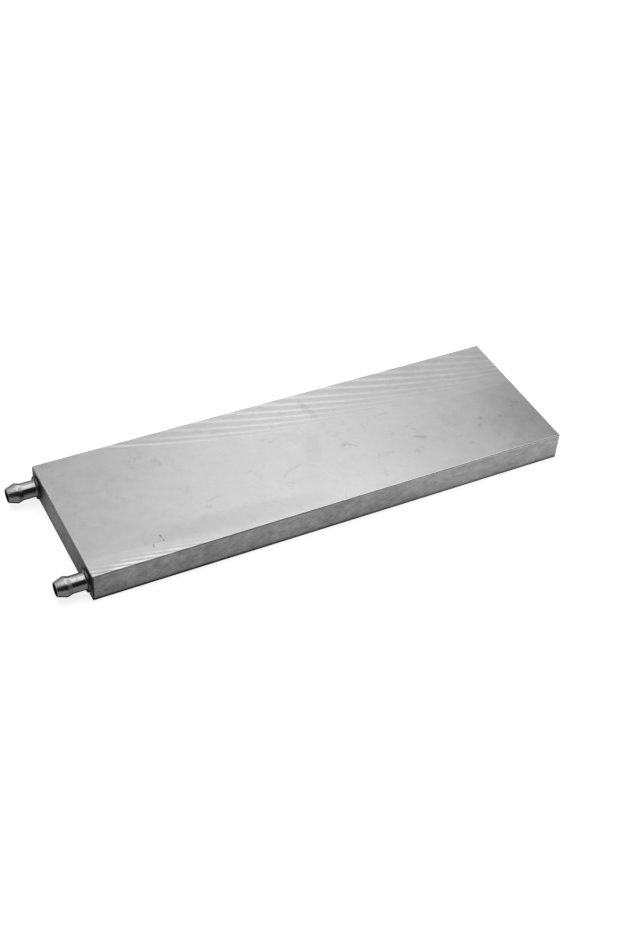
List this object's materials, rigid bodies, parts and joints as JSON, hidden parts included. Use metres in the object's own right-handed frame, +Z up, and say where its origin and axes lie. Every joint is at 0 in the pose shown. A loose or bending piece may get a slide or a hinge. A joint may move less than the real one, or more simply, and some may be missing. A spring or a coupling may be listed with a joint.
{
  "type": "liquid cooling cold plate",
  "caption": "Flat rectangular aluminium cold plate with a serpentine coolant channel milled inside it and barbed hose nozzles side by side at one end.",
  "frame": {"origin": "centre of the plate's underside, measured without the nozzles", "axes": "+X along the plate's length, with both nozzles at the -X end; +Y across its width; +Z up, out of the cooling face"},
  "size_m": [0.2651, 0.08, 0.015],
  "materials": {
    "milled_aluminium": "fine milled, satin",
    "lid_aluminium": "face milled, satin",
    "turned_metal": "turned, bright",
    "seal_rubber": "matt black"
  },
  "bodies": {
    "root": {"plate_body": "milled_aluminium", "cover_plate": "lid_aluminium", "inlet_nozzle": "turned_metal", "outlet_nozzle": "turned_metal", "inlet_seal_ring": "seal_rubber", "outlet_seal_ring": "seal_rubber"}
  },
  "joints": []
}
